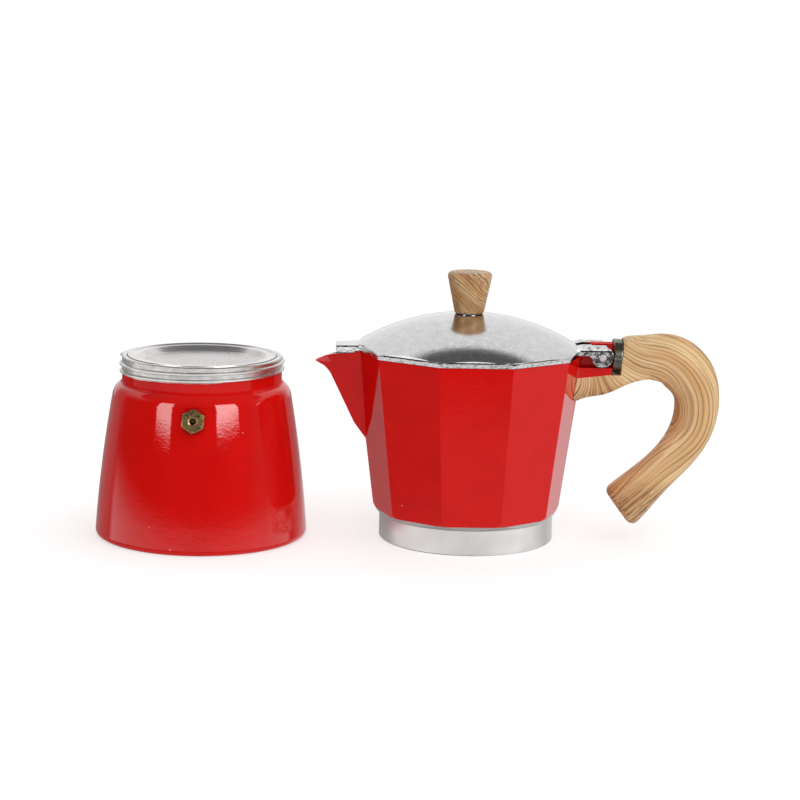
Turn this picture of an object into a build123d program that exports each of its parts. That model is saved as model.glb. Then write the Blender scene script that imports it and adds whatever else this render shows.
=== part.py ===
from build123d import *
from math import cos, radians, sin, sqrt, tan
import os

# Stove-top coffee pot, unscrewed into its two halves, in millimetres. The boiler stands on the
# origin with its axis along +Z. The upper pot stands beside it along +X, with its handle
# pointing to +X and its beak to -X. Upper parts are drawn about their own axis, then moved.

# ---------------------------------------------------------------- driving dimensions
UPPER_X = 126.0         # distance between the axes of the two halves

BOILER_RIM_Z = 85.5     # top of the boiler's mouth
BELLY_R = 50.0          # widest radius of the boiler
BELLY_Z = 2.9
FOOT_R = 47.6
SHOULDER_R = 41.9
SHOULDER_Z = 67.8
NECK_R = 37.5           # thread root on the neck
MOUTH_R = 33.4
SEAT_R = 35.3           # recess that takes the funnel flange and filter plate
SEAT_Z = 83.6
FLOOR_Z = 3.8

PITCH = 3.3             # thread that joins the halves
THREAD_DEPTH = 1.2
COLLAR_BORE_R = 39.3    # thread root in the collar

VALVE_BEARING = -92.0   # degrees from +X, seen from above
VALVE_TILT = 9.0        # the wall leans in, so the valve looks up a little
VALVE_Z = 61.8

BASKET_R = 31.6         # outside of the coffee basket
SHEET = 0.8             # sheet metal of the funnel
FLANGE_R = 34.9
PLATE_Z = 84.6          # underside of the filter plate, on the funnel flange
PLATE_SHEET = 0.7
PLATE_FLAT_R = 28.2
PLATE_DISH = 2.2
HOLE_PITCH = 2.2
HOLE_R = 0.5

SIDES = 10              # facets of the upper pot, with a corner on +X and one on -X
COLLAR_R = 41.3
COLLAR_TOP_Z = 13.8
CHAMBER_FOOT_Z = 11.5
CHAMBER_RIM_Z = 89.5
CHAMBER_RIM_R = 54.1    # corner radius at the rim
TAPER = 0.131           # growth of the corner radius per millimetre of height
WALL = 3.0
CHAMBER_FLOOR_Z = 18.5

HINGE_X = 61.5          # lid hinge axis, parallel to Y
HINGE_Z = 89.0
PIN_R = 2.0
KNUCKLE_R = 4.9
KNUCKLE_END_R = 5.3     # fuller corner at the end of each cheek
CHEEK_INNER_Y = 3.4
CHEEK_OUTER_Y = 11.5
LUG_HALF = 8.0
FIN_HALF = 3.1
LUG_END_X = 67.1        # at the height of the hinge; the end leans by PLATE_LEAN

LID_R = 54.6
LID_GAP = 0.2           # shadow gap between the rims
DOME_RIM_Z = 91.0       # where the dome meets a corner of the rim
DOME_TOP_Z = 107.4
LID_WALL = 2.4
CROWN_X = -0.9          # the crown of the lid and its knob sit a little towards the beak

KNOB_SEAT_Z = 107.7
KNOB_TOP_Z = 127.1
KNOB_FOOT_R = 7.0
KNOB_HEAD_R = 10.45

PLATE_LEAN = 5.5        # degrees that the handle plate's top leans towards the grip
PLATE_T = 4.3
PLATE_END_X = LUG_END_X + PLATE_T / cos(radians(PLATE_LEAN))
LIP_X = 49.0            # inner end of the handle's lip, trimmed to the wall
LIP_FOOT_X = 51.6
LIP_Z = 78.2
LIP_SLOPE = 0.116
LIP_SCREW_X = 60.0
TENON_HALF = 2.9
TENON_LOW_Z = 83.0
TENON_HIGH_Z = 90.6

FIT = 0.05              # radial clearance of a pin or plug in its hole
FAR = 200.0             # past every face of the object


os.makedirs("parts", exist_ok=True)


# ---------------------------------------------------------------- shared shapes
def ring(inner_r, outer_r, low_z, high_z):
    """Plain washer about the Z axis."""
    with BuildPart() as washer:
        with BuildSketch(Plane.XY.offset(low_z)):
            Circle(outer_r)
            Circle(inner_r, mode=Mode.SUBTRACT)
        extrude(amount=high_z - low_z)
    return washer.part


def revolved(*corners):
    """Solid of revolution about Z from (radius, height) corners."""
    with BuildPart() as turned:
        with BuildSketch(Plane.XZ):
            with BuildLine():
                Polyline(*corners, close=True)
            make_face()
        revolve(axis=Axis.Z)
    return turned.part


def slab(corners, low_y, high_y):
    """Flat piece drawn as (x, z) corners and lying between two y values."""
    with BuildPart() as plate:
        with BuildSketch(Plane.XZ.offset(-high_y)):
            with BuildLine():
                Polyline(*corners, close=True)
            make_face()
        extrude(amount=high_y - low_y)
    return plate.part


def thread_ridge(root_r, low_z, height, start, inward=False):
    """Helical ridge that starts at a bearing, with its trapezoid foot sunk into the wall."""
    out = -1 if inward else 1
    sunk = root_r - out * 0.3
    crest = root_r + out * THREAD_DEPTH
    with BuildPart() as ridge:
        with BuildLine() as path:
            Helix(PITCH, height, root_r, center=(0, 0, low_z))
        with BuildSketch(Plane.XZ):
            with BuildLine():
                Polyline(
                    (sunk, low_z - 0.95), (crest, low_z - 0.35),
                    (crest, low_z + 0.35), (sunk, low_z + 0.95), close=True,
                )
            make_face()
        sweep(path=path.line, is_frenet=True)
    return ridge.part.rotate(Axis.Z, start)


def corner_radius(z):
    """Outer corner radius of the upper pot's ten-sided wall at a height."""
    return CHAMBER_RIM_R - TAPER * (CHAMBER_RIM_Z - z)


def ten_sided(low_z, high_z, inset):
    """Tapered ten-sided block that follows the chamber's wall, set in from its faces."""
    corner_inset = inset / cos(radians(180 / SIDES))
    with BuildPart() as block:
        for z in (low_z, high_z):
            with BuildSketch(Plane.XY.offset(z)):
                RegularPolygon(corner_radius(z) - corner_inset, SIDES)
        loft(ruled=True)
    return block.part


def dome(rim_r, rim_z, top_z):
    """Solid under a spherical cap that passes the rim radius at rim_z, down to the lid's foot."""
    rise = top_z - rim_z
    ball_r = (rim_r ** 2 + rise ** 2) / (2 * rise)
    with BuildPart() as cap:
        with BuildSketch(Plane.XY.offset(CHAMBER_RIM_Z - 5)):
            Circle(rim_r + 3)
        extrude(amount=top_z - CHAMBER_RIM_Z + 6)
        with Locations((CROWN_X, 0, top_z - ball_r)):
            Sphere(ball_r, mode=Mode.INTERSECT)
    return cap.part


def keep(part, name):
    """Label a finished piece and write it."""
    part.label = name
    export_step(part, f"parts/{name}.step")


def keep_upper(part, name):
    """Write a piece of the upper pot in its place beside the boiler."""
    keep(part.moved(Location((UPPER_X, 0, 0))), name)


# ---------------------------------------------------------------- boiler
# The safety valve looks straight out of the wall. Its plane lies on the flat that the washer
# rests on, with z pointing out of the boiler.
VALVE_OUT = Vector(
    cos(radians(VALVE_BEARING)) * cos(radians(VALVE_TILT)),
    sin(radians(VALVE_BEARING)) * cos(radians(VALVE_TILT)),
    sin(radians(VALVE_TILT)),
)
VALVE_WALL_R = 42.4
VALVE_PLANE = Plane(
    origin=(
        VALVE_WALL_R * cos(radians(VALVE_BEARING)),
        VALVE_WALL_R * sin(radians(VALVE_BEARING)),
        VALVE_Z,
    ),
    x_dir=(-sin(radians(VALVE_BEARING)), cos(radians(VALVE_BEARING)), 0),
    z_dir=VALVE_OUT,
)
VALVE_SHANK_R = 4.0
VALVE_SPOT_R = 6.1
VALVE_PAD_R = 7.5
VALVE_PAD_DEPTH = 7.5

neck_thread = thread_ridge(NECK_R, 78.3, 6.6, 180)


def make_boiler():
    """Turned cup with a shoulder, a threaded neck and a pad inside for the valve."""
    with BuildPart() as boiler:
        with BuildSketch(Plane.XZ):
            with BuildLine():
                Polyline((0, FLOOR_Z), (0, 0), (FOOT_R, 0))
                ThreePointArc((FOOT_R, 0), (49.35, 0.95), (BELLY_R, BELLY_Z))
                ThreePointArc((BELLY_R, BELLY_Z), (46.9, 34.5), (SHOULDER_R, SHOULDER_Z))
                ThreePointArc((SHOULDER_R, SHOULDER_Z), (40.8, 70.3), (38.3, 72.6))
                Polyline(
                    (38.3, 72.6), (NECK_R, 73.9), (NECK_R, BOILER_RIM_Z - 0.4),
                    (NECK_R - 0.4, BOILER_RIM_Z), (SEAT_R, BOILER_RIM_Z), (SEAT_R, SEAT_Z),
                    (MOUTH_R, SEAT_Z), (MOUTH_R, 70.2), (38.3, 66.0),
                )
                ThreePointArc((38.3, 66.0), (43.4, 34.5), (46.3, 7.6))
                ThreePointArc((46.3, 7.6), (45.1, 4.9), (42.6, FLOOR_Z))
                Line((42.6, FLOOR_Z), (0, FLOOR_Z))
            make_face()
        revolve(axis=Axis.Z)
        add(neck_thread)
        with BuildSketch(Plane.XY.offset(BOILER_RIM_Z)):
            Circle(BELLY_R)
        extrude(amount=PITCH, mode=Mode.SUBTRACT)
        with BuildSketch(VALVE_PLANE.offset(-VALVE_PAD_DEPTH)):
            Circle(VALVE_PAD_R)
        extrude(amount=VALVE_PAD_DEPTH - 1)
        with BuildSketch(VALVE_PLANE):
            Circle(VALVE_SPOT_R)
        extrude(amount=8, mode=Mode.SUBTRACT)
        with BuildSketch(VALVE_PLANE.offset(-VALVE_PAD_DEPTH - 5)):
            Circle(VALVE_SHANK_R + FIT)
        extrude(amount=VALVE_PAD_DEPTH + 8, mode=Mode.SUBTRACT)
    return boiler.part


# ---------------------------------------------------------------- safety valve
WASHER_T = 0.6
HEX_HEIGHT = 4.2
HEX_ACROSS = 10.0
HEX_TURN = 25           # the hexagon stops at this angle once tightened
VALVE_WASHER_R = 4.9
VALVE_BORE_R = 2.6
VALVE_SEAT = -5.0       # the poppet's head rests here
POPPET_HEAD_T = 1.0
RETAINER_FOOT = 2.4     # the spring's fixed end


def valve_solid(*corners):
    """Piece turned about the valve's own axis, from (radius, distance out) corners."""
    return revolved(*corners).moved(VALVE_PLANE.location)


def make_valve_body():
    """Hexagon with a shank through the wall, bored for the poppet and its spring."""
    top = WASHER_T + HEX_HEIGHT
    chamfered = revolved((0, WASHER_T), (5.8, WASHER_T), (5.8, top - 0.8), (4.7, top), (0, top))
    with BuildPart() as body:
        with BuildSketch(Plane.XY.offset(WASHER_T)):
            RegularPolygon(HEX_ACROSS / 2, 6, major_radius=False, rotation=HEX_TURN)
        extrude(amount=HEX_HEIGHT)
        add(chamfered, mode=Mode.INTERSECT)
        with BuildSketch(Plane.XY.offset(-VALVE_PAD_DEPTH - 1)):
            Circle(VALVE_SHANK_R)
        extrude(amount=VALVE_PAD_DEPTH + 1 + WASHER_T)
        with BuildSketch(Plane.XY.offset(-VALVE_PAD_DEPTH - 2)):
            Circle(1.6)
        extrude(amount=20, mode=Mode.SUBTRACT)
        with BuildSketch(Plane.XY.offset(VALVE_SEAT)):
            Circle(VALVE_BORE_R)
        extrude(amount=20, mode=Mode.SUBTRACT)
    return body.part.moved(VALVE_PLANE.location)


def make_valve_spring():
    """Coil between the poppet's head and the retainer."""
    wire = 0.3
    low = VALVE_SEAT + POPPET_HEAD_T + wire + 0.02
    high = RETAINER_FOOT - wire - 0.02
    with BuildPart() as spring:
        with BuildLine() as path:
            Helix(1.3, high - low, 1.75, center=(0, 0, low))
        with BuildSketch(Plane(origin=path.line @ 0, z_dir=path.line % 0)):
            Circle(wire)
        sweep(path=path.line, is_frenet=True)
    return spring.part.moved(VALVE_PLANE.location)


keep(make_boiler(), "boiler")
keep(make_valve_body(), "valve_body")
keep(
    ring(VALVE_SHANK_R + FIT, VALVE_WASHER_R, 0, WASHER_T).moved(VALVE_PLANE.location),
    "valve_washer",
)
keep(
    valve_solid((0, -6.4), (1.0, -6.4), (1.3, -6.0), (1.3, VALVE_SEAT), (2.3, VALVE_SEAT),
                (2.3, VALVE_SEAT + POPPET_HEAD_T), (0.95, VALVE_SEAT + POPPET_HEAD_T),
                (0.95, 2.2), (0.7, 2.5), (0, 2.5)),
    "valve_poppet",
)
keep(make_valve_spring(), "valve_spring")
keep(
    valve_solid((1.5, RETAINER_FOOT), (VALVE_BORE_R, RETAINER_FOOT), (VALVE_BORE_R, 4.8),
                (3.3, 4.8), (3.3, 5.5), (2.3, 5.5), (2.3, 4.9), (1.5, 4.4)),
    "valve_retainer",
)


# ---------------------------------------------------------------- funnel and filter plate
CONE_TOP_Z = 60.6
STEM_TOP_Z = 52.5
STEM_R = 5.2
STEM_FOOT_Z = 9.0
DISC_Z = 62.0
BASKET_BORE_R = BASKET_R - SHEET
DISC_LEDGE_R = BASKET_BORE_R - 1.2


def hole_centres(pitch, within_r):
    """Staggered grid of hole centres inside a circle."""
    row_step = pitch * sqrt(3) / 2
    rows = int(within_r / row_step)
    centres = []
    for row in range(-rows, rows + 1):
        shift = pitch / 2 if row % 2 else 0
        columns = int(within_r / pitch) + 1
        for column in range(-columns, columns + 1):
            x, y = column * pitch + shift, row * row_step
            if x * x + y * y <= within_r * within_r:
                centres.append((x, y))
    return centres


def perforated_disc(radius, hole_zone_r, hole_r, pitch, low_z, thickness):
    """Flat disc with a staggered field of round holes."""
    with BuildPart() as disc:
        with BuildSketch(Plane.XY.offset(low_z)):
            Circle(radius)
            with Locations(*hole_centres(pitch, hole_zone_r)):
                Circle(hole_r, mode=Mode.SUBTRACT)
        extrude(amount=thickness)
    return disc.part


def make_filter_plate():
    """Dished plate: perforated flat, sloping step, flat rim and a raised edge."""
    low = PLATE_Z - PLATE_DISH
    flat = perforated_disc(PLATE_FLAT_R, PLATE_FLAT_R - 1.2, HOLE_R, HOLE_PITCH, low, PLATE_SHEET)
    edge_r = FLANGE_R
    rim = revolved(
        (PLATE_FLAT_R - 0.1, low), (PLATE_FLAT_R, low), (30.5, PLATE_Z), (edge_r, PLATE_Z),
        (edge_r, PLATE_Z + 1.2), (edge_r - 0.5, PLATE_Z + 1.2),
        (edge_r - 1.0, PLATE_Z + PLATE_SHEET), (30.2, PLATE_Z + PLATE_SHEET),
        (PLATE_FLAT_R - 0.1, low + PLATE_SHEET),
    )
    with BuildPart() as plate:
        add(flat)
        add(rim)
    return plate.part


keep(
    revolved(
        (BASKET_BORE_R, PLATE_Z), (FLANGE_R, PLATE_Z), (FLANGE_R, SEAT_Z), (BASKET_R, SEAT_Z),
        (BASKET_R, CONE_TOP_Z), (STEM_R, STEM_TOP_Z), (STEM_R, STEM_FOOT_Z),
        (STEM_R - SHEET, STEM_FOOT_Z), (STEM_R - SHEET, STEM_TOP_Z + 0.7),
        (DISC_LEDGE_R, CONE_TOP_Z + 0.8), (DISC_LEDGE_R, DISC_Z), (BASKET_BORE_R, DISC_Z),
    ),
    "funnel",
)
keep(
    perforated_disc(BASKET_BORE_R - FIT, DISC_LEDGE_R - 1.6, 0.7, 4.4, DISC_Z, SHEET),
    "funnel_disc",
)
keep(make_filter_plate(), "filter_plate")


# ---------------------------------------------------------------- chamber
SOCKET_R = 10.5
SOCKET_TOP_Z = 28.0
COLUMN_R = 7.0
GASKET_R = 37.6
GASKET_BORE_R = 30.0
GASKET_LOW_Z = 12.5
GASKET_HIGH_Z = 15.4
# The beak is a wedge with flat sides and a nearly straight keel, and a thin flare at its tip.
# Points along the keels: (distance from the axis, height).
WEDGE = ((48.4, 46.4), (54.2, 54.3), (71.3, CHAMBER_RIM_Z))
FLARE = ((63.9, 75.0), (66.3, 78.8), (68.6, 81.3), (72.6, 83.5), (72.6, CHAMBER_RIM_Z))
CHANNEL_FOOT_Z = 75.0
WEDGE_HALF_ANGLE = 20.5
FLARE_HALF_ANGLE = 9.0
BEAK_WALL = 1.2

collar_thread = thread_ridge(COLLAR_BORE_R, 2.2, 7.0, 0, inward=True)


def beak_block(keel, half_angle, inset=0.0):
    """Stacked arrowheads that share one half angle and follow a keel, set in from its faces."""
    slope = tan(radians(half_angle))
    back = inset / sin(radians(half_angle))
    with BuildPart() as block:
        for reach, z in keel:
            root = corner_radius(z) - WALL - 1.5 - inset
            tip = reach - back
            with BuildSketch(Plane.XY.offset(z)):
                with BuildLine():
                    half = (tip - root) * slope
                    Polyline((-tip, 0), (-root, -half), (-root, half), close=True)
                make_face()
        loft(ruled=True)
    return block.part


def wedge_at(z):
    """Reach of the wedge's upper, straight keel at a height."""
    (low_reach, low_z), (high_reach, high_z) = WEDGE[1:]
    return low_reach + (high_reach - low_reach) * (z - low_z) / (high_z - low_z)


def lip_line(x):
    """Height of the joint between the lug and the handle's lip."""
    return LIP_Z + LIP_SLOPE * (x - LIP_X)


def leaning(x, z):
    """Point at a height on a face that leans with the plate and passes x at the hinge's height."""
    return x + (z - HINGE_Z) * tan(radians(PLATE_LEAN)), z


def lug_corner():
    """Where the underside of the lug meets its leaning end."""
    lean = tan(radians(PLATE_LEAN))
    x = (LUG_END_X + (lip_line(0) - HINGE_Z) * lean) / (1 - LIP_SLOPE * lean)
    return x, lip_line(x)


def lug():
    """Block that carries the handle, its tenon, and the fin between the lid's cheeks."""
    root_x = 46.0
    block_top = HINGE_Z - KNUCKLE_END_R - 0.3
    block = slab(
        [(root_x, lip_line(root_x)), lug_corner(), leaning(LUG_END_X, block_top),
         (root_x, block_top)],
        -LUG_HALF, LUG_HALF,
    )
    fin_top = HINGE_Z + KNUCKLE_R + 0.4
    fin = slab(
        [(root_x, block_top - 2), leaning(LUG_END_X, block_top - 2), leaning(LUG_END_X, fin_top),
         (57.2, fin_top), (54.6, CHAMBER_RIM_Z - 1.0), (root_x, CHAMBER_RIM_Z - 1.0)],
        -FIN_HALF, FIN_HALF,
    )
    tenon = slab(
        [(LUG_END_X - 2, TENON_LOW_Z), (82.0, TENON_LOW_Z), (82.0, TENON_HIGH_Z),
         (LUG_END_X - 2, TENON_HIGH_Z)],
        -TENON_HALF, TENON_HALF,
    )
    return block, fin, tenon


def make_chamber():
    """Ten-sided pot with beak, lug, threaded collar and a socket for the column."""
    outer = ten_sided(CHAMBER_FOOT_Z, CHAMBER_RIM_Z, 0)
    inner = ten_sided(CHAMBER_FLOOR_Z, CHAMBER_RIM_Z + 2, WALL)
    wedge = beak_block(WEDGE, WEDGE_HALF_ANGLE)
    flare = beak_block(FLARE, FLARE_HALF_ANGLE)
    channel_keel = ((wedge_at(CHANNEL_FOOT_Z), CHANNEL_FOOT_Z), WEDGE[-1])
    channel = beak_block(channel_keel, WEDGE_HALF_ANGLE, BEAK_WALL)
    lip_cut = slab(
        [(-74.5, 83.4), (-68.5, 86.2), (-64.5, 87.4), (-55.0, 88.5), (-53.6, CHAMBER_RIM_Z),
         (-53.6, 95), (-74.5, 95)],
        -12, 12,
    )
    base = revolved(
        (0, 0), (COLLAR_R - 0.5, 0), (COLLAR_R, 0.5), (COLLAR_R, COLLAR_TOP_Z), (0, COLLAR_TOP_Z),
    )
    floor = revolved(
        (0, CHAMBER_FLOOR_Z - 2), (36, CHAMBER_FLOOR_Z - 2), (36, CHAMBER_FLOOR_Z),
        (SOCKET_R, 22.5), (SOCKET_R, SOCKET_TOP_Z), (0, SOCKET_TOP_Z),
    )
    under = revolved(
        (0, -1), (COLLAR_BORE_R, -1), (COLLAR_BORE_R, GASKET_LOW_Z), (GASKET_R + 0.3, GASKET_LOW_Z),
        (GASKET_R + 0.3, GASKET_HIGH_Z), (29.5, GASKET_HIGH_Z), (COLUMN_R, 19.6),
        (COLUMN_R, SOCKET_TOP_Z + 1), (0, SOCKET_TOP_Z + 1),
    )
    block, fin, tenon = lug()
    with BuildPart() as chamber:
        add(outer)
        with BuildSketch(Plane.XZ):
            with BuildLine():
                ThreePointArc((COLLAR_R, 11.8), (43.7, 14.4), (45.2, 19.2))
                Polyline((45.2, 19.2), (90, 19.2), (90, 100), (0, 100), (0, 11.8), (COLLAR_R, 11.8))
            make_face()
        revolve(axis=Axis.Z, mode=Mode.INTERSECT)
        add(base)
        add(wedge)
        add(flare)
        add(lip_cut, mode=Mode.SUBTRACT)
        add(block)
        add(fin)
        add(tenon)
        add(inner, mode=Mode.SUBTRACT)
        add(channel, mode=Mode.SUBTRACT)
        add(floor)
        add(under, mode=Mode.SUBTRACT)
        add(collar_thread)
        with BuildSketch(Plane.XZ.offset(-FAR / 2)):
            with Locations((HINGE_X, HINGE_Z)):
                Circle(PIN_R + FIT)
        extrude(amount=FAR, mode=Mode.SUBTRACT)
        with BuildSketch(Plane.XY.offset(70)):
            with Locations((LIP_SCREW_X, 0)):
                Circle(2.0 + FIT)
        extrude(amount=15, mode=Mode.SUBTRACT)
    return chamber.part


def make_riser_column():
    """Coffee column: plug, stop flange, tapering tube with a closed top and two side slots."""
    with BuildPart() as column:
        with BuildSketch(Plane.XZ):
            with BuildLine():
                Polyline(
                    (4.2, 20.4), (COLUMN_R - FIT, 20.4), (COLUMN_R - FIT, SOCKET_TOP_Z),
                    (8.8, SOCKET_TOP_Z), (8.8, SOCKET_TOP_Z + 1.4), (7.4, SOCKET_TOP_Z + 1.4),
                    (6.3, 62.0),
                )
                ThreePointArc((6.3, 62.0), (5.2, 65.6), (2.0, 67.6))
                Polyline((2.0, 67.6), (0, 67.6), (0, 64.8), (4.2, 64.8), (4.2, 20.4))
            make_face()
        revolve(axis=Axis.Z)
        with BuildSketch(Plane.XZ.offset(-10)):
            with Locations((0, 57)):
                SlotOverall(9, 4.4, rotation=90)
        extrude(amount=20, mode=Mode.SUBTRACT)
    return column.part


keep_upper(make_chamber(), "chamber")
keep_upper(ring(GASKET_BORE_R, GASKET_R, GASKET_LOW_Z, GASKET_HIGH_Z), "gasket")
keep_upper(make_riser_column(), "riser_column")


# ---------------------------------------------------------------- lid
LID_LOW_Z = CHAMBER_RIM_Z + LID_GAP
SPIGOT_R = 50.2
SCREW_R = 2.0
LID_PAD_Z = DOME_TOP_Z - LID_WALL - 1.6


def cheek(low_y, high_y):
    """Hinge cheek: an arm level with the top of its round knuckle."""
    arm_low = HINGE_Z - 0.2
    arm_top = HINGE_Z + KNUCKLE_R
    corner_x = HINGE_X + sqrt(KNUCKLE_END_R ** 2 - KNUCKLE_R ** 2)
    with BuildPart() as piece:
        with BuildSketch(Plane.XZ.offset(-high_y)):
            with Locations((HINGE_X, HINGE_Z)):
                Circle(KNUCKLE_R)
            with BuildLine():
                Polyline(
                    (49.5, LID_LOW_Z), (55.2, LID_LOW_Z), (56.2, arm_low), (HINGE_X, arm_low),
                    (HINGE_X, arm_top), (53.0, arm_top), (49.5, HINGE_Z + 4.2), close=True,
                )
            make_face()
            with BuildLine():
                Polyline((HINGE_X + KNUCKLE_END_R, HINGE_Z), (HINGE_X, HINGE_Z), (HINGE_X, arm_top),
                         (corner_x, arm_top))
                RadiusArc((corner_x, arm_top), (HINGE_X + KNUCKLE_END_R, HINGE_Z), KNUCKLE_END_R)
            make_face()
        extrude(amount=high_y - low_y)
    return piece.part


def make_lid():
    """Domed cap cut off by ten upright faces, with a tab over the beak and two hinge cheeks."""
    with BuildPart() as cavity_prism:
        with BuildSketch(Plane.XY.offset(LID_LOW_Z - 3)):
            RegularPolygon(LID_R - LID_WALL, SIDES)
        extrude(amount=FAR)
    cavity = dome(LID_R, DOME_RIM_Z - LID_WALL, DOME_TOP_Z - LID_WALL) & cavity_prism.part
    cap = dome(LID_R, DOME_RIM_Z, DOME_TOP_Z)
    tab = slab(
        [(-63.3, 88.9), (-55.0, 88.9), (-54.3, LID_LOW_Z), (-50, LID_LOW_Z), (-50, 92.6),
         (-63.3, 92.0)],
        -7, 7,
    )
    tab_hollow = slab([(-61.5, 88), (-50, 88), (-50, 90.2), (-61.5, 90.2)], -5.2, 5.2)
    near_cheek = cheek(-CHEEK_OUTER_Y, -CHEEK_INNER_Y)
    far_cheek = cheek(CHEEK_INNER_Y, CHEEK_OUTER_Y)
    slot = slab([(52.6, 80), (80, 80), (80, 100), (52.6, 100)], -CHEEK_INNER_Y, CHEEK_INNER_Y)
    with BuildPart() as lid:
        with BuildSketch(Plane.XY.offset(LID_LOW_Z)):
            RegularPolygon(LID_R, SIDES)
        extrude(amount=30)
        add(cap, mode=Mode.INTERSECT)
        with BuildSketch(Plane.XY.offset(DOME_TOP_Z - 3)):
            with Locations((CROWN_X, 0)):
                Circle(KNOB_FOOT_R - 0.6)
        extrude(amount=KNOB_SEAT_Z - DOME_TOP_Z + 3)
        add(tab)
        add(near_cheek)
        add(far_cheek)
        add(cavity, mode=Mode.SUBTRACT)
        add(tab_hollow, mode=Mode.SUBTRACT)
        add(slot, mode=Mode.SUBTRACT)
        with BuildSketch(Plane.XY.offset(CHAMBER_RIM_Z - 1.6)):
            RegularPolygon(SPIGOT_R, SIDES)
            RegularPolygon(SPIGOT_R - 1.8, SIDES, mode=Mode.SUBTRACT)
        extrude(amount=4.2)
        with BuildSketch(Plane.XY.offset(LID_PAD_Z)):
            with Locations((CROWN_X, 0)):
                Circle(7.5)
        extrude(amount=2)
        with BuildSketch(Plane.XY.offset(95)):
            with Locations((CROWN_X, 0)):
                Circle(SCREW_R + FIT)
        extrude(amount=20, mode=Mode.SUBTRACT)
        with BuildSketch(Plane.XZ.offset(-FAR / 2)):
            with Locations((HINGE_X, HINGE_Z)):
                Circle(PIN_R + FIT)
        extrude(amount=FAR, mode=Mode.SUBTRACT)
    return lid.part


def make_hinge_pin():
    """Straight pin with slightly domed heads outside the cheeks."""
    reach = CHEEK_OUTER_Y + 1.1
    with BuildPart() as pin:
        with BuildSketch(Plane.XZ.offset(-reach)):
            with Locations((HINGE_X, HINGE_Z)):
                Circle(PIN_R)
        extrude(amount=2 * reach)
        chamfer(pin.edges().filter_by(GeomType.CIRCLE), 0.4)
    return pin.part


# ---------------------------------------------------------------- knob and its fasteners
INSERT_R = 3.4
INSERT_TOP_Z = KNOB_SEAT_Z + 9.0
KNOB_WASHER_T = 0.8


def make_knob():
    """Tapered knob, widest at the head, with a socket for its threaded insert."""
    with BuildPart() as knob:
        with BuildSketch(Plane.XZ):
            with BuildLine():
                Polyline(
                    (INSERT_R + FIT, KNOB_SEAT_Z), (KNOB_FOOT_R - 0.4, KNOB_SEAT_Z),
                    (KNOB_FOOT_R, KNOB_SEAT_Z + 0.5), (KNOB_HEAD_R, KNOB_TOP_Z - 2.2),
                )
                ThreePointArc(
                    (KNOB_HEAD_R, KNOB_TOP_Z - 2.2), (KNOB_HEAD_R - 0.5, KNOB_TOP_Z - 0.7),
                    (KNOB_HEAD_R - 1.9, KNOB_TOP_Z - 0.1),
                )
                Polyline(
                    (KNOB_HEAD_R - 1.9, KNOB_TOP_Z - 0.1), (0, KNOB_TOP_Z + 0.3),
                    (0, INSERT_TOP_Z), (INSERT_R + FIT, INSERT_TOP_Z), (INSERT_R + FIT, KNOB_SEAT_Z),
                )
            make_face()
        revolve(axis=Axis.Z)
    return knob.part


def keep_on_crown(part, name):
    """Write a piece drawn about the knob's own axis in its place on the lid."""
    keep_upper(part.moved(Location((CROWN_X, 0, 0))), name)


keep_upper(make_lid(), "lid")
keep_upper(make_hinge_pin(), "lid_hinge_pin")
keep_on_crown(make_knob(), "knob")
keep_on_crown(ring(SCREW_R, INSERT_R, KNOB_SEAT_Z, INSERT_TOP_Z), "knob_insert")
keep_on_crown(ring(SCREW_R + FIT, 4.6, LID_PAD_Z - KNOB_WASHER_T, LID_PAD_Z), "knob_washer")
keep_on_crown(
    revolved(
        (0, LID_PAD_Z - KNOB_WASHER_T - 2.2), (2.4, LID_PAD_Z - KNOB_WASHER_T - 2.2),
        (3.6, LID_PAD_Z - KNOB_WASHER_T - 1.2), (3.6, LID_PAD_Z - KNOB_WASHER_T),
        (SCREW_R, LID_PAD_Z - KNOB_WASHER_T), (SCREW_R, INSERT_TOP_Z - 1.5), (0, INSERT_TOP_Z - 1.5),
    ),
    "knob_screw",
)


# ---------------------------------------------------------------- handle
# Sections of the grip from the plate to the free end: centre x and z, heading of the grip in
# degrees from +X, half thickness in the side view and half width across it.
GRIP = (
    (leaning(PLATE_END_X, 88.6)[0], 88.6, -PLATE_LEAN, 8.1, 9.0),
    (78.0, 88.8, -1, 9.2, 9.2),
    (84.5, 88.1, -4, 10.6, 9.4),
    (94.5, 87.0, -20, 11.8, 9.6),
    (102.0, 82.0, -50, 12.2, 9.6),
    (106.9, 74.4, -73, 11.4, 9.5),
    (108.5, 65.0, -90, 10.6, 9.5),
    (106.8, 55.0, -106, 10.2, 9.5),
    (101.9, 45.1, -122, 9.6, 9.4),
    (94.8, 36.4, -133, 9.1, 9.3),
    (87.4, 28.9, -135, 9.5, 9.3),
    (80.3, 21.8, -137, 10.6, 9.4),
    (72.8, 14.3, -143, 11.3, 9.5),
)
PLATE_HALF_Y = 9.1
PLATE_LOW_Z = 80.5
PLATE_HIGH_Z = 96.4
COUNTERBORE_Z = 73.0
HANDLE_WASHER_T = 0.8


def make_grip():
    """Hooked grip of oval section, rounded over at its free end."""
    with BuildPart() as grip:
        for x, z, heading, thick, wide in GRIP:
            along = (cos(radians(heading)), 0, sin(radians(heading)))
            with BuildSketch(Plane(origin=(x, 0, z), x_dir=(0, 1, 0), z_dir=along)):
                Ellipse(wide, thick)
        loft()
        end_face = grip.faces().filter_by(GeomType.PLANE).sort_by(Axis.Z)[0]
        fillet(end_face.edges(), 3.4)
    return grip.part


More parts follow.
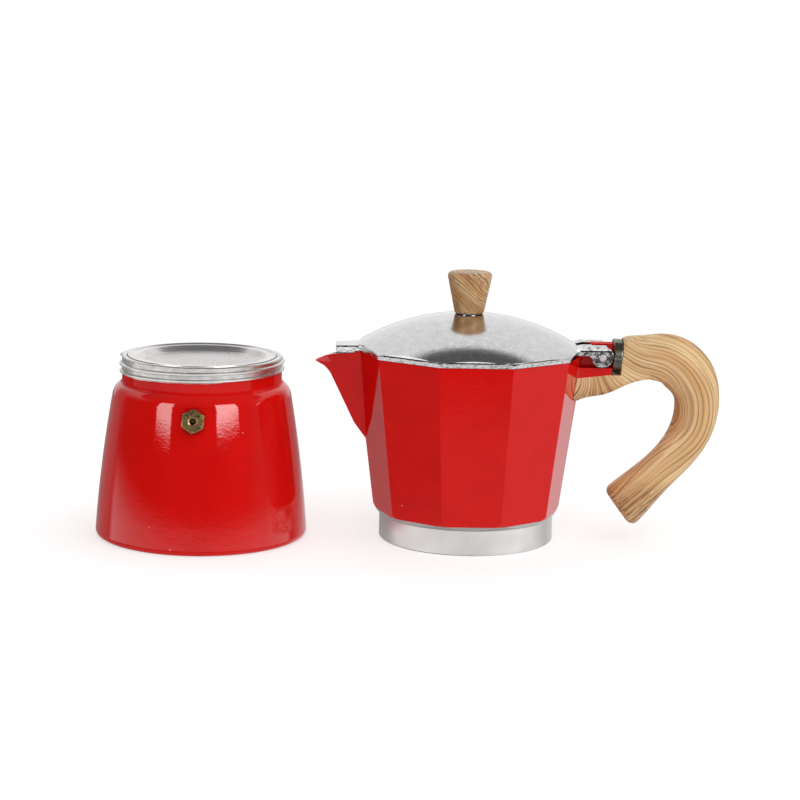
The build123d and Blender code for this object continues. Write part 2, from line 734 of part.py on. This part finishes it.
def make_handle():
    """Grip with a lip that runs under the lug, a socket for the tenon and a screw hole."""
    lip_low = ((LIP_FOOT_X, 67.5), (57.6, 69.3), (62.3, 70.1), (66.4, 71.4), (72.6, 74.4),
               (79.2, 76.9), (84.4, 77.8))
    under_plate = PLATE_LOW_Z - 0.5
    with BuildPart() as lip:
        with BuildSketch(Plane.XZ.offset(-LUG_HALF)):
            with BuildLine():
                Spline(*lip_low)
                Polyline(
                    lip_low[-1], (86, 86), leaning(PLATE_END_X + 0.3, 86),
                    leaning(PLATE_END_X + 0.3, under_plate), leaning(LUG_END_X, under_plate),
                    lug_corner(), (LIP_X, lip_line(LIP_X)), (LIP_X, lip_low[0][1]), lip_low[0],
                )
            make_face()
        extrude(amount=2 * LUG_HALF)
        low_edges = lip.edges().filter_by(GeomType.BSPLINE)
        fillet(low_edges, 3.0)
    grip = make_grip()
    wall = ten_sided(60, 85, -0.1)
    with BuildPart() as handle:
        add(grip)
        add(lip.part)
        add(wall, mode=Mode.SUBTRACT)
        with BuildSketch(Plane.YZ.offset(PLATE_END_X - 1)):
            with Locations((0, (TENON_LOW_Z + TENON_HIGH_Z) / 2)):
                Rectangle(2 * TENON_HALF + 0.2, TENON_HIGH_Z - TENON_LOW_Z + 0.2)
        extrude(amount=11.6, mode=Mode.SUBTRACT)
        with BuildSketch(Plane.XY.offset(60)):
            with Locations((LIP_SCREW_X, 0)):
                Circle(4.4)
        extrude(amount=COUNTERBORE_Z - 60, mode=Mode.SUBTRACT)
        with BuildSketch(Plane.XY.offset(60)):
            with Locations((LIP_SCREW_X, 0)):
                Circle(SCREW_R + 0.2)
        extrude(amount=20, mode=Mode.SUBTRACT)
    return handle.part


def make_handle_plate():
    """Oval metal plate clamped between the lug and the grip, slotted for the tenon."""
    lean = radians(PLATE_LEAN)
    middle_x, middle_z = leaning(LUG_END_X, (PLATE_LOW_Z + PLATE_HIGH_Z) / 2)
    face = Plane(origin=(middle_x, 0, middle_z), x_dir=(0, 1, 0), z_dir=(cos(lean), 0, -sin(lean)))
    with BuildPart() as plate:
        with BuildSketch(face):
            Ellipse(PLATE_HALF_Y, (PLATE_HIGH_Z - PLATE_LOW_Z) / 2)
        extrude(amount=PLATE_T)
        rim_edges = plate.edges().filter_by(GeomType.ELLIPSE)
        fillet(rim_edges, 0.6)
        with BuildSketch(Plane.YZ.offset(LUG_END_X - 2)):
            with Locations((0, (TENON_LOW_Z + TENON_HIGH_Z) / 2)):
                Rectangle(2 * TENON_HALF + 0.1, TENON_HIGH_Z - TENON_LOW_Z + 0.1)
        extrude(amount=9, mode=Mode.SUBTRACT)
    return plate.part


def at_lip_screw(part):
    """Move a piece drawn about the Z axis onto the lip screw's axis."""
    return part.moved(Location((LIP_SCREW_X, 0, 0)))


keep_upper(make_handle(), "handle")
keep_upper(make_handle_plate(), "handle_plate")
keep_upper(
    at_lip_screw(ring(SCREW_R + FIT, 4.2, COUNTERBORE_Z - HANDLE_WASHER_T, COUNTERBORE_Z)),
    "handle_washer",
)
keep_upper(
    at_lip_screw(revolved(
        (0, 69.9), (2.6, 69.9), (3.6, 70.7), (3.6, COUNTERBORE_Z - HANDLE_WASHER_T),
        (SCREW_R, COUNTERBORE_Z - HANDLE_WASHER_T), (SCREW_R, 84.2), (0, 84.2),
    )),
    "handle_screw",
)
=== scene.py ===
from math import cos, radians, sin

import bpy
from mathutils import Matrix, Vector

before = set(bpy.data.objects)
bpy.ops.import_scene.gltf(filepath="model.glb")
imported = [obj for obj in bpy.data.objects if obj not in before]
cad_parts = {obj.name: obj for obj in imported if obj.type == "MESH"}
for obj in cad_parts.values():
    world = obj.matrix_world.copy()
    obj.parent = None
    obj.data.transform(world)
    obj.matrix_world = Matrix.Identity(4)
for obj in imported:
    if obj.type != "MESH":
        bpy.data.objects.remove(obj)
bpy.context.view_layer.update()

MM = 0.001
DEGREES = 57.2958           # in one radian

# Places on the object. Heights are above the table; offsets are from the upper pot's own axis.
UPPER_X = 126 * MM          # axis of the upper pot
NECK_R = 37.5 * MM          # root of the boiler's thread
NECK_PAINT_Z = 78.15 * MM   # the paint ends under the thread, higher towards +X by its run-in
RUN_IN = 0.8 * MM
BAND_Z = 73 * MM            # above here the neck's paint is duller
NECK_FOOT_Z = 70.3 * MM
NECK_WALL_R = 35.75 * MM    # inside the neck's wall, between its two faces
WALL_MIDDLE_R = 48.3 * MM   # inside the boiler's wall, at the table
WALL_MIDDLE_SLOPE = 0.135
UNDERSIDE_Z = 3.3 * MM
COLLAR_R = 41.425 * MM
COLLAR_TOP_Z = 13.775 * MM
FACETS_LOW_Z = 19.4 * MM    # below here the chamber is rounded in to meet its collar
WALL_HALF = 1.5 * MM
RIM_LOW_Z = 84.25 * MM      # lowest part of the bare rim, over the beak
LUG_X = 50.5 * MM
FACET_FOOT_Z = 11.5 * MM
FACET_FOOT_R = 41.74 * MM   # from the axis to the middle of a facet, at its foot
FACET_SLOPE = 0.1246
FACET_STEP = radians(18)    # half the angle between two corners of the ten
BEAK_FOOT_Z = 54.3 * MM
BEAK_FOOT_REACH = 54.2 * MM
BEAK_SLOPE = 0.4858
BEAK_HALF_ANGLE = radians(20.5)
LID_EDGE_Z = 91.8 * MM      # below here the lid's faces are upright
HINGE_ARM_X = 52 * MM
KNOB_SEAT_Z = 107.2 * MM
BEND_X = UPPER_X + 83.5 * MM    # centre of the handle's bend
BEND_Z = 64 * MM


# ---------------------------------------------------------------- node helpers
class Tree:
    """Short ways to add shader nodes to one node tree."""

    def __init__(self, tree):
        self.tree = tree
        tree.nodes.clear()

    def feed(self, socket, value):
        """Link an output, or set a number, vector or colour."""
        if isinstance(value, bpy.types.NodeSocket):
            self.tree.links.new(value, socket)
        elif isinstance(value, tuple) and len(value) == 3 and socket.type == "RGBA":
            socket.default_value = (*value, 1)
        else:
            socket.default_value = value

    def node(self, kind, settings=None, **inputs):
        n = self.tree.nodes.new(kind)
        for key, value in (settings or {}).items():
            setattr(n, key, value)
        for key, value in inputs.items():
            self.feed(n.inputs[key.replace("_", " ")], value)
        return n

    def math(self, operation, a, b=None):
        n = self.node("ShaderNodeMath", {"operation": operation})
        for socket, value in zip(n.inputs, (a, b)):
            if value is not None:
                self.feed(socket, value)
        return n.outputs[0]

    def add(self, a, b):
        return self.math("ADD", a, b)

    def sub(self, a, b):
        return self.math("SUBTRACT", a, b)

    def mul(self, a, b):
        return self.math("MULTIPLY", a, b)

    def most(self, a, b):
        return self.math("MAXIMUM", a, b)

    def size(self, a):
        return self.math("ABSOLUTE", a)

    def radius(self, a, b):
        return self.math("SQRT", self.add(self.mul(a, a), self.mul(b, b)))

    def step(self, value, low, high, bottom=0.0, top=1.0):
        """Smooth step from bottom to top as value goes from low to high."""
        n = self.node("ShaderNodeMapRange", {"interpolation_type": "SMOOTHSTEP"})
        for socket, v in zip(n.inputs, (value, low, high, bottom, top)):
            self.feed(socket, v)
        return n.outputs[0]

    def past(self, value, edge, blur=0.1 * MM):
        """0 before an edge and 1 past it, blurred to each side."""
        return self.step(value, edge - blur, edge + blur)

    def before(self, value, edge, blur=0.1 * MM):
        """1 before an edge and 0 past it, blurred to each side."""
        return self.step(value, edge + blur, edge - blur)

    def split(self, vector):
        return self.node("ShaderNodeSeparateXYZ", Vector=vector).outputs

    def join(self, x, y, z):
        return self.node("ShaderNodeCombineXYZ", X=x, Y=y, Z=z).outputs[0]

    def scale(self, vector, by):
        n = self.node("ShaderNodeVectorMath", {"operation": "MULTIPLY"})
        self.feed(n.inputs[0], vector)
        self.feed(n.inputs[1], by)
        return n.outputs[0]

    def noise(self, vector, scale, detail=2.0, rough=0.5, warp=0.0):
        return self.node("ShaderNodeTexNoise", Vector=vector, Scale=scale, Detail=detail,
                         Roughness=rough, Distortion=warp).outputs["Fac"]

    def mix(self, factor, a, b):
        n = self.node("ShaderNodeMix", {"data_type": "RGBA"})
        self.feed(n.inputs["Factor"], factor)
        self.feed(n.inputs[6], a)
        self.feed(n.inputs[7], b)
        return n.outputs[2]

    def blend(self, factor, a, b):
        n = self.node("ShaderNodeMix", {"data_type": "FLOAT"})
        for socket, v in zip((n.inputs[0], n.inputs[2], n.inputs[3]), (factor, a, b)):
            self.feed(socket, v)
        return n.outputs[0]

    def ramp(self, value, stops):
        n = self.node("ShaderNodeValToRGB")
        self.feed(n.inputs[0], value)
        elements = n.color_ramp.elements
        while len(elements) < len(stops):
            elements.new(0.5)
        for element, (position, colour) in zip(elements, stops):
            element.position = position
            element.color = (*colour, 1)
        return n.outputs[0]

    def profile(self, value, span, points):
        """Number that follows (position, value) points over a span centred on zero."""
        stops = [(p / span + 0.5, (v, v, v)) for p, v in points]
        colour = self.ramp(self.add(self.mul(value, 1 / span), 0.5), stops)
        return self.node("ShaderNodeSeparateColor", Color=colour).outputs[0]

    def bump(self, height, distance, strength=1.0, normal=None):
        n = self.node("ShaderNodeBump", Height=height, Distance=distance, Strength=strength)
        if normal is not None:
            self.feed(n.inputs["Normal"], normal)
        return n.outputs[0]

    def place(self):
        """Position on the object at rest, in metres."""
        return self.node("ShaderNodeTexCoord").outputs["Object"]


def material(name):
    """New material and the tree that its nodes go in."""
    m = bpy.data.materials.new(name)
    m.use_nodes = True
    return m, Tree(m.node_tree)


def surface(t, **inputs):
    """One principled shader, with its inputs named with underscores for spaces."""
    shader = t.node("ShaderNodeBsdfPrincipled")
    for key, value in inputs.items():
        t.feed(shader.inputs[key.replace("_", " ")], value)
    return shader.outputs[0]


def output(t, shader):
    t.feed(t.node("ShaderNodeOutputMaterial").inputs["Surface"], shader)


def two_coats(t, mask, under, over):
    """The over shader where the mask is 1, and the under shader where it is 0."""
    n = t.node("ShaderNodeMixShader")
    for socket, v in zip(n.inputs, (mask, under, over)):
        t.feed(socket, v)
    return n.outputs[0]


# ---------------------------------------------------------------- paint and aluminium
RED = (0.60, 0.0054, 0.0040)
DEEP_RED = (0.56, 0.0046, 0.0034)
DUST = (0.85, 0.42, 0.40)
BRIGHT = (0.80, 0.79, 0.775)        # bare aluminium
# Grey that darkens bare aluminium: grime, and painted shade in the thread's roots
GRIME_AND_SHADE = (0.42, 0.40, 0.38)
POLISHED = (0.725, 0.71, 0.715)
PITTED = (0.36, 0.36, 0.36)
SHADE = (0.06, 0.06, 0.058)


def paint(t, place, gloss=1.0):
    """Sprayed gloss enamel: slight orange peel, faint mottling and a few dust specks."""
    mottle = t.noise(place, 70, 3)
    colour = t.mix(t.step(mottle, 0.35, 0.7), RED, DEEP_RED)
    cells = t.node("ShaderNodeTexVoronoi", Vector=place, Scale=95)
    lottery = t.node("ShaderNodeSeparateColor", Color=cells.outputs["Color"]).outputs[0]
    speck = t.mul(t.step(cells.outputs["Distance"], 0.034, 0.02), t.step(lottery, 0.87, 0.89))
    colour = t.mix(t.mul(speck, 0.8), colour, DUST)
    squeezed = t.scale(place, (1, 1, 1.7))
    fine = t.noise(squeezed, 640, 2, 0.55)
    peel = t.add(t.mul(fine, 0.75), t.mul(t.noise(squeezed, 170, 1), 0.8))
    relief = t.bump(t.add(peel, t.mul(speck, 2.0)), 0.018 * MM)
    return surface(t, Base_Color=colour, Roughness=0.6, IOR=1.45, Specular_IOR_Level=0.0,
                   Normal=relief, Coat_Weight=gloss, Coat_Roughness=0.03, Coat_IOR=1.5,
                   Coat_Normal=relief)


def cast_grain(t, place, scale):
    """Fine dark speckle of a tumbled casting."""
    fine = t.noise(place, scale, 4, 0.7)
    coarse = t.noise(place, scale * 0.16, 2)
    return t.step(t.add(fine, t.mul(coarse, 0.35)), 0.5, 0.9)


def turned(t, place, centre_x, tone=BRIGHT, low=0.24, high=0.42, grime_and_shade=0.0):
    """Bare aluminium turned on a lathe: fine rings round the axis, with dull and bright zones.
    Its roughness lies between low and high; the last argument darkens it from 0 to 1, with grime
    and painted shade."""
    x, y, z = t.split(place)
    r = t.radius(t.sub(x, centre_x), y)
    rings = t.noise(t.join(t.mul(r, 9.0), t.mul(z, 9.0), 0.0), 420, 3, 0.65)
    cloud = t.noise(place, 60, 3)
    fine = t.noise(place, 1500, 2)
    rough = t.add(t.step(t.add(t.mul(rings, 0.6), t.mul(cloud, 0.4)), 0.3, 0.7, low, high),
                  t.mul(fine, 0.05))
    colour = t.mix(t.step(cloud, 0.3, 0.75), tone, tuple(c * 0.88 for c in tone))
    colour = t.mix(grime_and_shade, colour, GRIME_AND_SHADE)
    relief = t.bump(t.add(rings, t.mul(fine, 0.5)), 0.012 * MM)
    return surface(t, Base_Color=colour, Metallic=1.0, Roughness=rough, Anisotropic=0.35,
                   Normal=relief)


def boiler_material():
    """Painted outside, bare threaded neck, mouth, inside and underside."""
    m, t = material("boiler_paint")
    place = t.place()
    x, y, z = t.split(place)
    r = t.radius(x, y)
    ragged = t.mul(t.sub(t.noise(t.scale(place, (1, 1, 0.2)), 90, 3), 0.5), 0.9 * MM)
    cut = t.add(NECK_PAINT_Z, t.mul(x, RUN_IN / NECK_R))
    below_neck = t.before(t.sub(t.add(z, ragged), cut), 0.0, 0.08 * MM)
    middle = t.sub(WALL_MIDDLE_R, t.mul(z, WALL_MIDDLE_SLOPE))
    neck = t.mul(t.past(z, NECK_FOOT_Z), t.past(r, NECK_WALL_R, 0.15 * MM))
    outside = t.most(t.past(t.sub(r, middle), 0.0), t.most(neck, t.before(z, UNDERSIDE_Z)))
    off_table = t.past(z, 0.25 * MM)
    mask = t.mul(t.mul(below_neck, outside), off_table)
    root_patchiness = t.noise(t.scale(place, (1, 1, 2)), 260, 3, 0.6)
    # Painted shade with grime: the thread's roots turn a patchy grey, as shade in the hollows
    root = t.mul(t.before(r, NECK_R + 0.6 * MM, 0.4 * MM),
                 t.past(r, NECK_R - 0.45 * MM, 0.15 * MM))
    thread = t.past(z, NECK_PAINT_Z - 0.9 * MM, 0.25 * MM)
    grime_and_shade = t.mul(t.mul(root, thread), t.step(root_patchiness, 0.3, 0.7, 0.1, 0.6))
    gloss = t.step(z, BAND_Z + 0.6 * MM, BAND_Z - 0.6 * MM, 0.25, 1.0)
    output(t, two_coats(t, mask, turned(t, place, 0.0, (0.84, 0.83, 0.81), grime_and_shade=grime_and_shade),
                        paint(t, place, gloss)))
    return m


def chamber_material():
    """Painted ten-sided outside with beak and lug; bare collar, inside and rim."""
    m, t = material("chamber_paint")
    place = t.place()
    x, y, z = t.split(place)
    dx, aside = t.sub(x, UPPER_X), t.size(y)
    r = t.radius(dx, y)
    sector = t.math("PINGPONG", t.math("ARCTAN2", y, dx), FACET_STEP)
    apothem = t.mul(r, t.math("COSINE", t.sub(FACET_STEP, sector)))
    wall = t.add(FACET_FOOT_R, t.mul(t.sub(z, FACET_FOOT_Z), FACET_SLOPE))
    low = t.mul(t.before(z, FACETS_LOW_Z), t.past(r, COLLAR_R, 0.075 * MM))
    outside = t.most(t.past(t.sub(apothem, wall), -WALL_HALF), low)
    above = t.past(z, COLLAR_TOP_Z, 0.075 * MM)
    reach = t.add(BEAK_FOOT_REACH, t.mul(t.sub(z, BEAK_FOOT_Z), BEAK_SLOPE))
    depth = t.sub(t.mul(t.add(reach, dx), sin(BEAK_HALF_ANGLE)),
                  t.mul(aside, cos(BEAK_HALF_ANGLE)))
    channel = t.mul(t.past(depth, 0.6 * MM), t.before(dx, -39 * MM, 1 * MM))
    upward = t.split(t.node("ShaderNodeTexCoord").outputs["Normal"])[2]
    top = t.mul(t.past(z, RIM_LOW_Z, 0.25 * MM), t.before(dx, LUG_X, 0.5 * MM))
    rim = t.mul(t.step(upward, 0.6, 0.75), top)
    mask = t.mul(t.mul(outside, above), t.sub(1.0, t.most(channel, rim)))
    lug = t.mul(t.past(dx, LUG_X, 1.5 * MM), t.before(aside, 10 * MM, 1 * MM))
    gloss = t.sub(1.0, t.mul(lug, 0.8))
    output(t, two_coats(t, mask, turned(t, place, UPPER_X, (0.90, 0.865, 0.85)),
                        paint(t, place, gloss)))
    return m


def lid_material():
    """Polished casting, bright and finely speckled; with painted shade on the upright edge,
    painted dark reflections in patches on the hinge, and a painted contact shadow at the knob's
    seat.
    """
    m, t = material("lid_aluminium")
    place = t.place()
    x, _, z = t.split(place)
    speckle = cast_grain(t, place, 1700)
    cloud = t.noise(place, 28, 2)
    rough = t.add(t.step(cloud, 0.3, 0.7, 0.035, 0.06), t.mul(speckle, 0.07))
    colour = t.mix(t.mul(speckle, 0.5), POLISHED, PITTED)
    dx = t.sub(x, UPPER_X)
    # Painted shade: the upright edge is darkened, much less at the tab
    upright = t.before(z, LID_EDGE_Z, 0.4 * MM)
    edge = t.mul(upright, t.step(dx, -47 * MM, -43 * MM, 0.05, 0.3))
    # Painted dark reflections, in patches over the hinge
    hinge_dark_reflection = t.step(t.noise(place, 330, 3, 0.6), 0.42, 0.56)
    hinge = t.mul(t.past(dx, HINGE_ARM_X, 1 * MM), t.blend(hinge_dark_reflection, 0.72, 0.1))
    # Painted contact shadow where the knob sits on the lid
    seat_shadow = t.step(z, KNOB_SEAT_Z - 0.1 * MM, KNOB_SEAT_Z + 0.05 * MM, 0.0, 0.8)
    colour = t.mix(t.most(t.add(edge, hinge), seat_shadow), colour, SHADE)
    dents = t.noise(t.scale(place, (1, 1, 1.4)), 430, 2, 0.6)
    relief = t.bump(t.mul(speckle, -1.0), 0.008 * MM,
                    normal=t.bump(t.mul(dents, t.blend(upright, 0.15, 5.0)), 0.03 * MM))
    output(t, surface(t, Base_Color=colour, Metallic=1.0, Roughness=rough, Normal=relief))
    return m


def bare_material(name, centre_x=0.0, tone=BRIGHT, low=0.22, high=0.4):
    """Unpainted aluminium piece, turned about an upright axis."""
    m, t = material(name)
    output(t, turned(t, t.place(), centre_x, tone, low, high))
    return m


def worn_metal(name, bright, dull, scale, low, high):
    """Machined metal with tarnish in patches and fine tool marks."""
    m, t = material(name)
    place = t.place()
    cloud = t.noise(place, scale, 4, 0.6)
    marks = t.noise(t.scale(place, (1, 1, 5)), scale * 8, 2)
    colour = t.mix(t.step(cloud, 0.35, 0.7), bright, dull)
    rough = t.add(t.step(cloud, 0.3, 0.7, low, high), t.mul(marks, 0.08))
    output(t, surface(t, Base_Color=colour, Metallic=1.0, Roughness=rough,
                      Normal=t.bump(marks, 0.01 * MM)))
    return m


def rubber_material(name, tone):
    """Matt moulded rubber with a faint cloud and a fine grain."""
    m, t = material(name)
    place = t.place()
    cloud = t.noise(place, 120, 3)
    colour = t.mix(cloud, tone, tuple(c * 0.8 for c in tone))
    output(t, surface(t, Base_Color=colour, Roughness=t.step(cloud, 0.2, 0.8, 0.45, 0.6),
                      Normal=t.bump(t.noise(place, 900, 2), 0.02 * MM)))
    return m


# ---------------------------------------------------------------- wood-grain print
TAN = (0.76, 0.54, 0.285)
HONEY = (0.60, 0.355, 0.145)
BROWN = (0.235, 0.070, 0.020)
BARK = (0.11, 0.036, 0.014)


def wood(t, along, across, side, darkening, spacing=1.9 * MM):
    """Printed grain: long thin lines that run along the piece, over soft bands.
    along, across, side and spacing are in metres; the argument before spacing darkens the print
    from 0 to 1, and adds dark pores."""
    waver = t.mul(t.sub(t.noise(t.join(along, across, side), 22, 2), 0.5), 5.0 * MM)
    v = t.add(across, waver)

    def grain(length, width, depth, detail=2, rough=0.5):
        return t.noise(t.join(t.mul(along, length), t.mul(v, width), t.mul(side, depth)),
                       1.0, detail, rough)

    bands = grain(9, 130, 60)
    drift = t.mul(t.sub(grain(8, 90, 40), 0.5), 7.0)
    phase = t.add(t.mul(v, 1 / spacing), drift)
    line_number = t.math("FLOOR", phase)
    late = t.math("FRACT", phase)
    edge = t.mul(t.step(late, 0.55, 0.9), t.step(late, 1.0, 0.97))
    weight = t.noise(t.join(t.mul(line_number, 3.7), t.mul(along, 16), t.mul(side, 20)), 1.0, 1)
    line = t.mul(edge, t.step(weight, 0.28, 0.6, 0.3, 1.0))
    fibre = t.step(grain(16, 1100, 500), 0.46, 0.58)
    dashes = t.mul(t.step(grain(140, 1400, 950), 0.545, 0.60), darkening)
    colour = t.mix(t.step(bands, 0.36, 0.64), TAN, HONEY)
    colour = t.mix(t.mul(darkening, 0.32), colour, BROWN)
    colour = t.mix(t.mul(fibre, t.add(0.24, t.mul(darkening, 0.22))), colour, BROWN)
    colour = t.mix(t.mul(line, t.add(0.66, t.mul(darkening, 0.3))), colour, BROWN)
    colour = t.mix(t.mul(dashes, 0.75), colour, BARK)
    relief = t.bump(t.add(t.mul(line, -0.6), t.mul(dashes, -0.8)), 0.03 * MM)
    rough = t.step(bands, 0.3, 0.8, 0.36, 0.5)
    return surface(t, Base_Color=colour, Roughness=rough, IOR=1.45, Normal=relief,
                   Specular_IOR_Level=0.35, Coat_Weight=0.08, Coat_Roughness=0.2)


def handle_material():
    """Grain that follows the hook: concentric round the bend, straight towards the free end."""
    m, t = material("handle_wood")
    x, y, z = t.split(t.place())
    dx, dz = t.sub(x, BEND_X), t.sub(z, BEND_Z)
    r = t.radius(dx, dz)
    angle = t.math("ARCTAN2", dz, dx)
    held = t.math("MINIMUM", t.most(angle, radians(-47)), radians(90))
    swing = t.sub(angle, held)
    across = t.mul(r, t.math("COSINE", swing))
    along = t.add(t.mul(held, 24 * MM), t.mul(r, t.math("SINE", swing)))
    behind = t.most(t.sub(BEND_X + 6 * MM, x), 0.0)
    across = t.sub(across, t.mul(t.mul(behind, behind), t.step(z, 56 * MM, 84 * MM, 0.0, 20.0)))
    # Painted shade on the inside of the bend, stronger lower down; the free end also darkens
    # towards its bottom
    inner_bend_shade = t.step(across, 20 * MM, 9 * MM)
    tip = t.step(z, 32 * MM, 19 * MM)
    darkening = t.most(t.mul(inner_bend_shade, t.step(z, 80 * MM, 66 * MM, 0.0, 0.8)), t.mul(tip, 0.8))
    output(t, wood(t, along, across, y, darkening))
    return m


def knob_material():
    """Grain that crosses the knob from upper left to lower right."""
    m, t = material("knob_wood")
    x, y, z = t.split(t.place())
    dx = t.sub(x, UPPER_X)
    across = t.add(t.mul(dx, 0.62), t.mul(z, 0.78))
    along = t.sub(t.mul(dx, 0.78), t.mul(z, 0.62))
    # The print is darker towards the top of the knob
    darkening = t.step(z, 124 * MM, 127 * MM, 0.5, 0.9)
    output(t, wood(t, along, across, t.add(y, 0.03), darkening, 1.4 * MM))
    return m


aluminium = bare_material("sheet_aluminium")
plate_metal = bare_material("filter_plate_aluminium", 0.0, (0.84, 0.82, 0.81), 0.2, 0.34)
column_metal = bare_material("column_aluminium", UPPER_X)
brass = worn_metal("valve_brass", (0.70, 0.49, 0.22), (0.42, 0.27, 0.12), 350, 0.16, 0.32)
steel = worn_metal("fastener_steel", (0.72, 0.72, 0.73), (0.5, 0.5, 0.5), 400, 0.15, 0.3)
ferrule = worn_metal("ferrule_metal", (0.28, 0.285, 0.23), (0.12, 0.12, 0.095), 150, 0.12, 0.3)

LOOKS = {
    "boiler": boiler_material(),
    "chamber": chamber_material(),
    "lid": lid_material(),
    "handle": handle_material(),
    "knob": knob_material(),
    "handle_plate": ferrule,
    "gasket": rubber_material("silicone", (0.85, 0.84, 0.80)),
    "valve_washer": rubber_material("dark_seal", (0.06, 0.05, 0.045)),
    "riser_column": column_metal,
    "filter_plate": plate_metal,
    "funnel": aluminium,
    "funnel_disc": aluminium,
}
for names, look in ((("valve_body", "valve_retainer", "valve_poppet", "knob_insert"), brass),
                    (("valve_spring", "lid_hinge_pin", "knob_screw", "knob_washer",
                      "handle_screw", "handle_washer"), steel)):
    for name in names:
        LOOKS[name] = look
for name, look in LOOKS.items():
    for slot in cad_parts[name].material_slots:
        slot.material = look


# ---------------------------------------------------------------- studio
# What reflections see. Azimuth is measured from the front, in degrees, towards +X.
RING = (                    # brightness round the horizon: (azimuth, value)
    (-180, 1.0), (-152, 0.92), (-140, 0.35), (-120, 0.25), (-108, 0.05), (-62, 0.01),
    (-30, 0.02), (20, 0.02), (56, 0.05), (76, 0.2), (98, 0.1), (118, 0.16), (140, 0.35),
    (152, 0.92), (180, 1.0),
)
TABLE = (                   # brightness below the horizon, in front: (elevation, value)
    (-90, 0.36), (-40, 0.34), (-26.8, 0.32), (-25.2, 0.27), (-23.8, 0.01), (-20, 0.02),
    (-16, 0.9), (-11, 1.6), (-7, 1.2), (-3.8, 0.24), (-2.0, 0.05), (90, 0.05),
)
SOFTBOXES = (               # (first azimuth, last azimuth, lower edge's elevation, power)
    (-55.5, -35.4, 5.6, 6.8),
    (21.3, 49.6, 7.0, 8.8),
)
ROOF_LIGHT = 0.12           # brightness of the dark panel overhead
CAMERA_PLACE = (57.87 * MM, -1056.05 * MM, 259.4 * MM)
CAMERA_YAW, CAMERA_PITCH, CAMERA_ROLL = radians(-1.93), radians(-10.41), radians(1.22)
CAMERA_LENS = 102.15
FLOOR_HALF = 3.0            # metres from the middle of the floor to each side


def make_floor():
    """Plain white floor, left out of reflections."""
    mesh = bpy.data.meshes.new("floor")
    corners = [(side * FLOOR_HALF, end * FLOOR_HALF, 0)
               for side, end in ((-1, -1), (1, -1), (1, 1), (-1, 1))]
    mesh.from_pydata(corners, [], [(0, 1, 2, 3)])
    floor = bpy.data.objects.new("floor", mesh)
    bpy.context.scene.collection.objects.link(floor)
    m, t = material("floor_white")
    output(t, surface(t, Base_Color=(0.5, 0.5, 0.5), Roughness=0.9, Specular_IOR_Level=0.0,
                      Emission_Color=(1.0, 1.0, 1.0), Emission_Strength=0.56))
    mesh.materials.append(m)
    floor.visible_glossy = False


def make_world():
    """White room for the eye and for soft light; reflections see softboxes in a darker studio."""
    world = bpy.data.worlds.new("studio")
    world.use_nodes = True
    bpy.context.scene.world = world
    t = Tree(world.node_tree)
    direction = t.node("ShaderNodeTexCoord").outputs["Generated"]
    x, y, z = t.split(direction)
    azimuth = t.mul(t.math("ARCTAN2", x, t.mul(y, -1.0)), DEGREES)
    elevation = t.mul(t.math("ARCSINE", z), DEGREES)
    ring = t.profile(azimuth, 360, RING)
    table = t.profile(elevation, 180, TABLE)
    aside = t.add(t.step(azimuth, -24, -50, 0.0, 0.14), t.step(azimuth, 24, 60, 0.0, 0.45))
    table = t.most(table, t.mul(aside, t.step(elevation, -8, -16)))
    behind = t.add(t.step(azimuth, -108, -122, 0.0, 0.32),
                   t.mul(t.step(azimuth, 104, 140), t.step(elevation, -8, -12, 0.33, 0.74)))
    table = t.blend(t.step(t.size(azimuth), 108, 118), table, behind)
    low = t.blend(t.step(elevation, -2.0, -3.6), ring, table)
    high = t.blend(t.step(y, -0.25, 0.15), 0.08, 0.96)
    room = t.blend(t.step(elevation, 16, 42), low, high)
    roof = t.add(z, t.mul(t.mul(x, x), 0.42))
    room = t.blend(t.step(roof, 0.864, 0.876), room, ROOF_LIGHT)
    for start, end, foot, power in SOFTBOXES:
        across = t.mul(t.step(azimuth, start - 1, start + 1), t.step(azimuth, end + 1, end - 1))
        upward = t.mul(t.step(elevation, foot - 1.8, foot + 1.4), t.step(elevation, 40, 30))
        room = t.add(room, t.mul(t.mul(across, upward), power))
    soft = t.add(t.step(z, -0.3, 1.0, 0.48, 1.2), t.step(y, 0.8, -0.9, 0.0, 0.42))
    soft = t.mul(soft, t.step(x, -0.85, 0.0, 0.15, 1.02))
    path = t.node("ShaderNodeLightPath").outputs
    seen = t.blend(path["Is Glossy Ray"], soft, room)
    seen = t.blend(path["Is Camera Ray"], seen, 1.0)
    light = t.node("ShaderNodeBackground", Strength=seen)
    t.feed(light.inputs["Color"], (1.0, 1.0, 1.0))
    t.feed(t.node("ShaderNodeOutputWorld").inputs["Surface"], light.outputs[0])


def make_camera():
    """Camera about a metre in front and above the lid, looking down a little, with a roll."""
    data = bpy.data.cameras.new("camera")
    data.sensor_width = 36
    data.lens = CAMERA_LENS
    data.clip_start, data.clip_end = 0.05, 20
    camera = bpy.data.objects.new("camera", data)
    bpy.context.scene.collection.objects.link(camera)
    yaw, pitch, roll = CAMERA_YAW, CAMERA_PITCH, CAMERA_ROLL
    ahead = Vector((-sin(yaw) * cos(pitch), cos(yaw) * cos(pitch), sin(pitch)))
    right = ahead.cross(Vector((0, 0, 1))).normalized()
    up = right.cross(ahead)
    tilted = right * cos(roll) + up * sin(roll)
    up = up * cos(roll) - right * sin(roll)
    axes = Matrix((tilted, up, -ahead)).transposed().to_4x4()
    camera.matrix_world = Matrix.Translation(CAMERA_PLACE) @ axes
    bpy.context.scene.camera = camera


make_floor()
make_world()
make_camera()
bpy.context.scene.view_settings.view_transform = "Standard"
